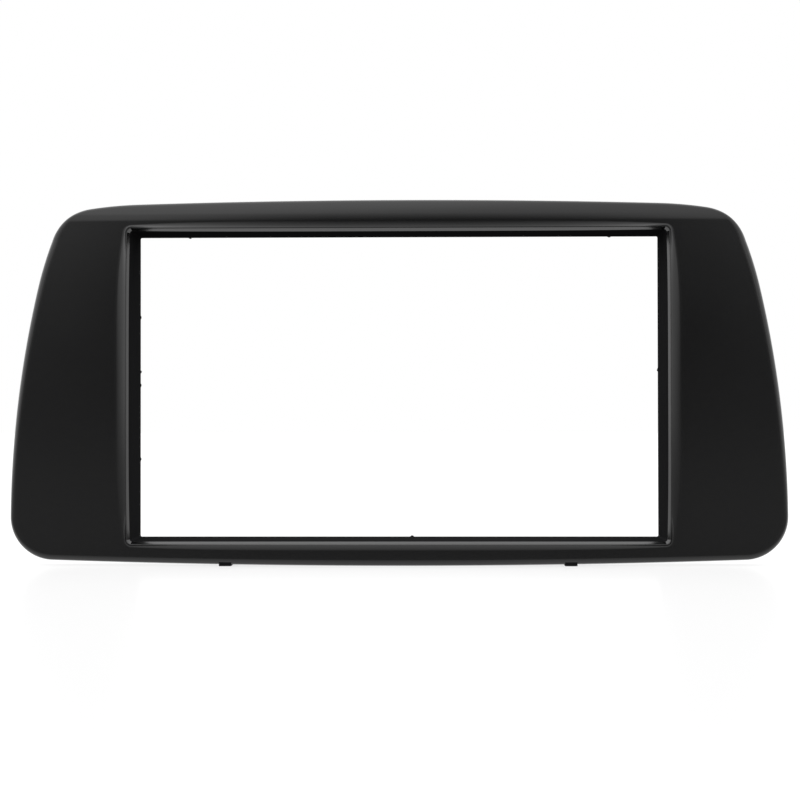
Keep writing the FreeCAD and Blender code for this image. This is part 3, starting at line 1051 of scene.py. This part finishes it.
@dataclass
class Studio:
    """A white floor and surround, one soft lamp, and the camera.

    The pool of painted light is where the floor's glow, seen only in reflections, fades out in front of the
    frame; under and behind the frame that painted glow is full. The corner light is how the tent's
    brightness starts in its upper corners, and corner_from where it starts sideways and upwards, all as
    parts of a unit direction.
    """

    distance: float = 500.0 * MM
    camera_x: float = 8.94 * MM
    camera_z: float = 49.6 * MM
    yaw: float = 0.932
    pitch: float = 0.632
    roll: float = -0.078
    focal_pixels: float = 1510.2
    picture: float = 800.0
    sensor: float = 36.0
    clip: tuple[float, float] = (0.01, 50.0)
    floor_reach: float = 4.0
    floor_shade: float = 0.18
    floor_gloss: float = 0.1
    floor_roughness: float = 0.2
    floor_lift: float = 0.7
    # Painted light: where the floor's reflection-only glow fades out, as distances along Y.
    painted_light_pool: tuple[float, float] = (-0.032, -0.003)
    corner_light: tuple[float, float] = (0.002, 0.02)
    tent_level: float = 1.87
    front_level: float = 0.02
    corner_from: tuple[float, float] = (0.1, 0.05)
    corner_level: float = 1.3
    left_to_right: tuple[float, float] = (1.1, 0.9)
    lamp_energy: float = 0.3
    lamp_spread: float = 60.0
    lamp_side: Corner = (-0.5, -0.35, 1.0)
    white: tuple[float, float, float, float] = (1.0, 1.0, 1.0, 1.0)

    def camera(self) -> None:
        """Put the camera half a metre in front of the lip, a little right of the middle."""
        data = bpy.data.cameras.new("camera")
        data.sensor_width = self.sensor
        data.lens = self.focal_pixels / self.picture * self.sensor
        data.clip_start, data.clip_end = self.clip
        camera = bpy.data.objects.new("camera", data)
        bpy.context.scene.collection.objects.link(camera)
        turn = Matrix.Rotation(math.radians(self.yaw), 4, "Z")
        turn @= Matrix.Rotation(math.radians(90 + self.pitch), 4, "X")
        turn @= Matrix.Rotation(math.radians(self.roll), 4, "Z")
        place = Matrix.Translation((self.camera_x, CAD_BOX[0].y - self.distance, self.camera_z))
        camera.matrix_world = place @ turn
        bpy.context.scene.camera = camera

    def floor(self) -> None:
        """A pale floor that keeps the frame's shadow, with a faint gloss, and a painted glow that shows only
        in reflections.
        """
        mesh = bpy.data.meshes.new("floor")
        r = self.floor_reach
        mesh.from_pydata([(-r, -r, 0), (r, -r, 0), (r, r, 0), (-r, r, 0)], [], [(0, 1, 2, 3)])
        material = bpy.data.materials.new("floor")
        material.use_nodes = True
        material.node_tree.nodes.clear()
        line = NodeLine(material.node_tree)
        shade = self.floor_shade
        matt = line.add("ShaderNodeBsdfDiffuse", (shade, shade, shade, 1.0)).outputs[0]
        gloss = line.add("ShaderNodeBsdfAnisotropic", self.white, self.floor_roughness).outputs[0]
        paper = line.add("ShaderNodeMixShader", self.floor_gloss, matt, gloss).outputs[0]
        # Painted light: the floor glows only in reflections, fully under and behind the frame, fading out in
        # front of it.
        place = line.add("ShaderNodeTexCoord").outputs["Object"]
        away = line.add("ShaderNodeSeparateXYZ", place).outputs["Y"]
        near = line.add("ShaderNodeMapRange", away, *self.painted_light_pool, 0.0, 1.0, interpolation_type="SMOOTHSTEP")
        path = line.add("ShaderNodeLightPath").outputs
        painted_reflection_glow = line.maths("MULTIPLY", path["Is Glossy Ray"], near.outputs[0])
        lift = line.maths("ADD", line.maths("MULTIPLY", path["Is Camera Ray"], self.floor_lift), painted_reflection_glow)
        glow = line.add("ShaderNodeEmission", self.white, lift).outputs[0]
        both = line.add("ShaderNodeAddShader", paper, glow).outputs[0]
        line.add("ShaderNodeOutputMaterial", both)
        mesh.materials.append(material)
        link_object("floor", mesh)

    def world(self) -> None:
        """A light tent that is bright at its sides and back, and dark round the camera."""
        world = bpy.data.worlds.new("studio")
        bpy.context.scene.world = world
        world.use_nodes = True
        world.node_tree.nodes.clear()
        line = NodeLine(world.node_tree)
        heading = line.add("ShaderNodeTexCoord").outputs["Generated"]
        axes = line.add("ShaderNodeSeparateXYZ", heading).outputs
        ahead = line.maths("MINIMUM", axes["Y"], 0.0)
        share = line.maths("MULTIPLY", ahead, ahead)
        dark = line.maths("MULTIPLY", share, self.tent_level - self.front_level)
        tent = line.maths("SUBTRACT", self.tent_level, dark)
        sideways, upwards = self.corner_from
        away = line.maths("SUBTRACT", line.maths("ABSOLUTE", axes["X"]), sideways)
        beside = line.maths("MAXIMUM", away, 0.0)
        above = line.maths("MAXIMUM", line.maths("SUBTRACT", axes["Z"], upwards), 0.0)
        corner = line.add("ShaderNodeMapRange", line.maths("MULTIPLY", beside, above), *self.corner_light,
                          0.0, self.corner_level, interpolation_type="SMOOTHSTEP").outputs[0]
        left = line.add("ShaderNodeMapRange", axes["X"], -1.0, 1.0, *self.left_to_right).outputs[0]
        level = line.maths("MULTIPLY", line.maths("MAXIMUM", tent, corner), left)
        path = line.add("ShaderNodeLightPath").outputs
        strength = line.add("ShaderNodeMix", path["Is Camera Ray"], None, level, 1.0)
        line.feed(strength.inputs[2], level)
        line.feed(strength.inputs[3], 1.0)
        shine = line.add("ShaderNodeBackground", self.white, strength.outputs[0])
        line.add("ShaderNodeOutputWorld", shine.outputs[0])

    def lamp(self) -> None:
        """One broad soft lamp from above, a little to the left and in front."""
        data = bpy.data.lights.new("key", "SUN")
        data.energy = self.lamp_energy
        data.angle = math.radians(self.lamp_spread)
        lamp = bpy.data.objects.new("key", data)
        bpy.context.scene.collection.objects.link(lamp)
        lamp.rotation_euler = Vector(self.lamp_side).to_track_quat("Z", "Y").to_euler()

    def build(self) -> None:
        """Set up the whole studio."""
        scene = bpy.context.scene
        scene.view_settings.view_transform = "Standard"
        self.camera()
        self.floor()
        self.world()
        self.lamp()


def main() -> None:
    """Build the frame and its studio."""
    logging.basicConfig(level=logging.INFO, format="%(name)s: %(message)s")
    Studio().build()
    Moulding().build([SATIN.material(), SPARKED.material()])


if __name__ == "__main__":
    main()
